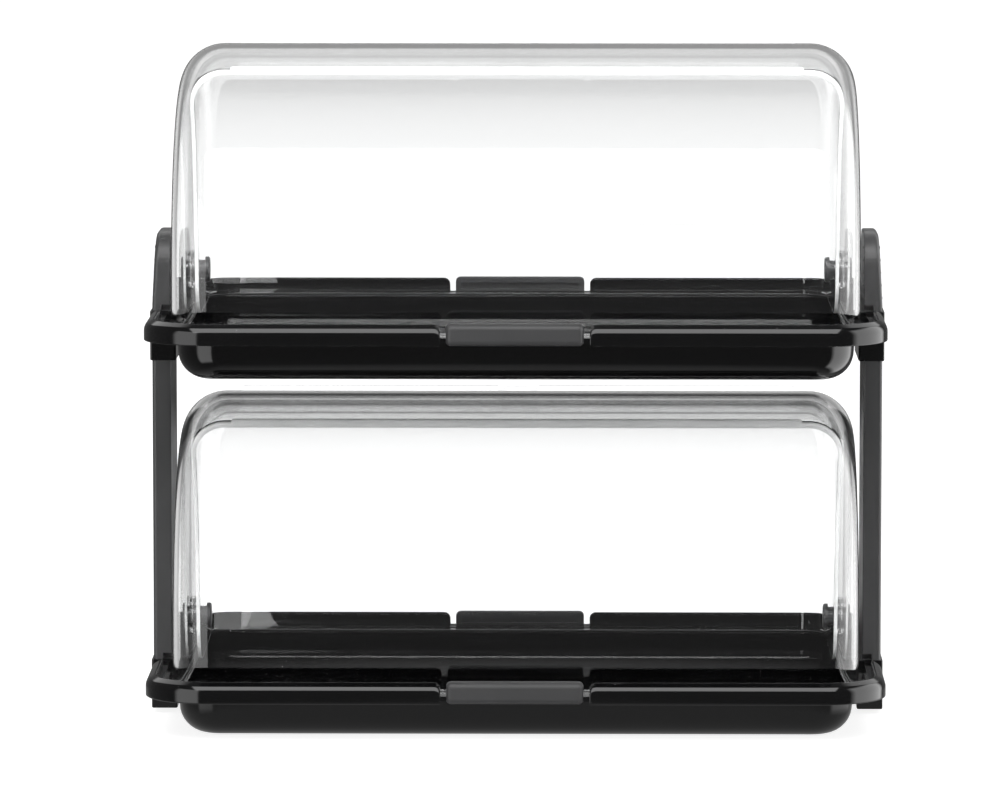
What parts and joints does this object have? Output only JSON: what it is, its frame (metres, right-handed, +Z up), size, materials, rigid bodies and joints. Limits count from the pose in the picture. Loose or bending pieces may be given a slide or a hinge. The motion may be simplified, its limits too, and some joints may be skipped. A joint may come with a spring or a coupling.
{
  "type": "countertop bread display bin",
  "caption": "Countertop bread display with stacked trays on side stands, each tray under a pair of nested clear covers that roll open to the front and back.",
  "frame": {"origin": "on the counter, under the middle of the display", "axes": "+X to the right seen from the front, +Y to the back, +Z up"},
  "size_m": [0.4468, 0.322, 0.408],
  "materials": {
    "tray_black": "glossy black moulded plastic",
    "grip_grey": "fine matte dark grey",
    "cover_clear": "clear transparent moulded plastic",
    "pivot_grey": "satin dark grey",
    "stand_grey": "satin dark grey, fine texture"
  },
  "bodies": {
    "display_frame": {"lower_tray": "tray_black", "upper_tray": "tray_black", "lower_front_grip": "grip_grey", "lower_rear_grip": "grip_grey", "upper_front_grip": "grip_grey", "upper_rear_grip": "grip_grey", "left_stand": "stand_grey", "right_stand": "stand_grey"},
    "lower_front_cover": {"lower_front_cover": "cover_clear"},
    "lower_rear_cover": {"lower_rear_cover": "cover_clear", "lower_left_pivot_pin": "pivot_grey", "lower_left_pivot_cap": "pivot_grey", "lower_right_pivot_pin": "pivot_grey", "lower_right_pivot_cap": "pivot_grey"},
    "upper_front_cover": {"upper_front_cover": "cover_clear"},
    "upper_rear_cover": {"upper_rear_cover": "cover_clear", "upper_left_pivot_pin": "pivot_grey", "upper_left_pivot_cap": "pivot_grey", "upper_right_pivot_pin": "pivot_grey", "upper_right_pivot_cap": "pivot_grey"}
  },
  "joints": [
    {"name": "lower_front_cover_roll", "type": "hinge", "parent": "display_frame", "child": "lower_front_cover", "pos_m": [0, 0, 0.056], "axis": [-1, 0, 0], "range_deg": [0, 78]},
    {"name": "lower_rear_cover_roll", "type": "hinge", "parent": "display_frame", "child": "lower_rear_cover", "pos_m": [0, 0, 0.056], "axis": [-1, 0, 0], "range_deg": [-78, 0]},
    {"name": "upper_front_cover_roll", "type": "hinge", "parent": "display_frame", "child": "upper_front_cover", "pos_m": [0, 0, 0.2697], "axis": [-1, 0, 0], "range_deg": [0, 78]},
    {"name": "upper_rear_cover_roll", "type": "hinge", "parent": "display_frame", "child": "upper_rear_cover", "pos_m": [0, 0, 0.2697], "axis": [-1, 0, 0], "range_deg": [-78, 0]}
  ]
}
